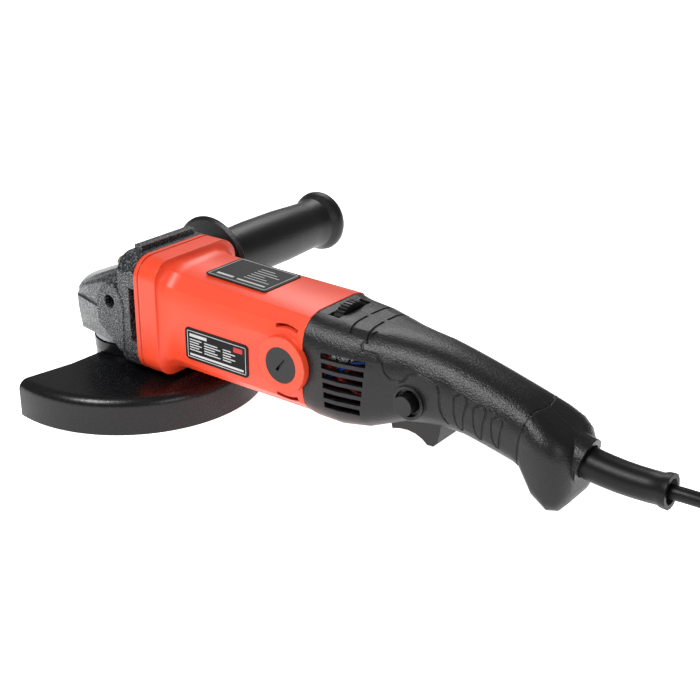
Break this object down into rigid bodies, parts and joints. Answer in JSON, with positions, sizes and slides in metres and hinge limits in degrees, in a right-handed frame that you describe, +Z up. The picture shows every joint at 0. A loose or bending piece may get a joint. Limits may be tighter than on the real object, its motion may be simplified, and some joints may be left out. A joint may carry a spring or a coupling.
{
  "type": "angle grinder",
  "caption": "Corded long-handled angle grinder for 150 mm discs, with red motor housing, half-round guard, trigger handle and side handle",
  "frame": {"origin": "on the spindle axis at the face of the inner flange, where the disc seats", "axes": "+X from the gear head towards the cord, along the motor axis; +Y towards the side handle; +Z up, out of the top of the gear head; the spindle thread points to -Z"},
  "size_m": [0.5509, 0.2512, 0.0995],
  "materials": {
    "hammered_black": "black hammered paint on die-cast alloy",
    "zinc_steel": "bright zinc plate",
    "cast_alloy": "raw die-cast alloy",
    "bearing_steel": "ground and sealed",
    "bronze": "sintered bronze",
    "ground_steel": "ground",
    "gear_steel": "case hardened",
    "black_plastic": "matt black",
    "spring_steel": "drawn wire",
    "black_sheet": "semi-gloss black powder coat",
    "lamination": "stacked steel sheet",
    "copper_wire": "varnished copper wire",
    "copper_bar": "turned copper",
    "fan_plastic": "moulded off-white",
    "red_plastic": "red glass-filled nylon, satin gloss",
    "label_film": "printed black film",
    "brass_sheet": "folded sheet",
    "carbon": "pressed carbon",
    "textured_black": "black nylon with a fine spark texture",
    "board": "circuit board",
    "grey_plastic": "dark grey moulding",
    "filter_plastic": "potted capacitor",
    "red_wire": "red insulation",
    "blue_wire": "blue insulation",
    "cord_rubber": "black rubber",
    "nickel": "nickel-plated brass"
  },
  "bodies": {
    "tool_body": {"gear_case": "hammered_black", "gear_case_screws": "zinc_steel", "bearing_cap": "cast_alloy", "bearing_cap_screws": "zinc_steel", "spindle_bearing": "bearing_steel", "spindle_bush": "bronze", "lock_spring": "spring_steel", "front_bearing": "bearing_steel", "bearing_plate": "cast_alloy", "rear_bearing": "bearing_steel", "air_baffle": "black_plastic", "field_core": "lamination", "field_coils": "copper_wire", "motor_housing": "red_plastic", "side_label": "label_film", "top_label": "label_film", "brush_holders": "brass_sheet", "carbon_brushes": "carbon", "brush_springs": "spring_steel", "brush_caps": "black_plastic", "handle_near": "textured_black", "handle_far": "textured_black", "handle_screws": "zinc_steel", "speed_module": "board", "switch_body": "grey_plastic", "trigger_pin": "ground_steel", "trigger_spring": "spring_steel", "lock_button_spring": "spring_steel", "noise_filter": "filter_plastic", "wires_red": "red_wire", "wires_blue": "blue_wire", "cable_clamp": "grey_plastic", "cable_clamp_screws": "zinc_steel", "cord_sleeve": "cord_rubber", "cord_tube": "cord_rubber", "cord_coil": "cord_rubber", "cord_tail": "cord_rubber", "plug_body": "cord_rubber", "plug_pins": "nickel"},
    "spindle_group": {"spindle": "ground_steel", "bevel_gear": "gear_steel", "inner_flange": "zinc_steel"},
    "armature_group": {"armature_shaft": "ground_steel", "pinion": "gear_steel", "armature_core": "lamination", "armature_windings": "copper_wire", "commutator": "copper_bar", "fan": "fan_plastic"},
    "guard_group": {"guard": "black_sheet", "guard_clamp": "black_sheet", "clamp_screw": "zinc_steel"},
    "trigger_group": {"trigger": "textured_black"},
    "button_group": {"lock_button": "black_plastic"},
    "lock_pin_group": {"lock_pin": "black_plastic"},
    "dial_group": {"speed_dial": "black_plastic"},
    "side_handle_group": {"grip": "textured_black", "grip_stud": "zinc_steel"}
  },
  "joints": [
    {"name": "armature_spin", "type": "hinge", "parent": "tool_body", "child": "armature_group", "pos_m": [0, 0, 0.0465], "axis": [1, 0, 0], "continuous": true},
    {"name": "spindle_spin", "type": "hinge", "parent": "tool_body", "child": "spindle_group", "pos_m": [0, 0, 0], "axis": [0, 0, 1], "continuous": true},
    {"name": "guard_turn", "type": "hinge", "parent": "tool_body", "child": "guard_group", "pos_m": [0, 0, 0], "axis": [0, 0, 1], "range_deg": [-75, 80]},
    {"name": "trigger_squeeze", "type": "hinge", "parent": "tool_body", "child": "trigger_group", "pos_m": [0.206, 0, 0.03], "axis": [0, -1, 0], "range_deg": [0, 6], "stiffness_Nm_per_rad": 2, "springref_deg": -5.73, "deforming": ["trigger_spring"]},
    {"name": "lock_on_press", "type": "slide", "parent": "tool_body", "child": "button_group", "axis": [0, 1, 0], "range_m": [0, 0.004], "stiffness_N_per_m": 300, "springref_m": -0.002, "deforming": ["lock_button_spring"]},
    {"name": "spindle_lock_press", "type": "slide", "parent": "tool_body", "child": "lock_pin_group", "axis": [0, -1, 0], "range_m": [0, 0.003], "stiffness_N_per_m": 300, "springref_m": -0.002, "deforming": ["lock_spring"]},
    {"name": "speed_dial_turn", "type": "hinge", "parent": "tool_body", "child": "dial_group", "pos_m": [0.166, 0, 0.0616], "axis": [1, 0, 0], "range_deg": [-140, 140]},
    {"name": "side_handle_pull", "type": "slide", "parent": "tool_body", "child": "side_handle_group", "axis": [0, 1, 0], "range_m": [0, 0.03]}
  ],
  "couplings": [
    {"joint": "spindle_spin", "follows": "armature_spin", "ratio": 0.32432}
  ]
}
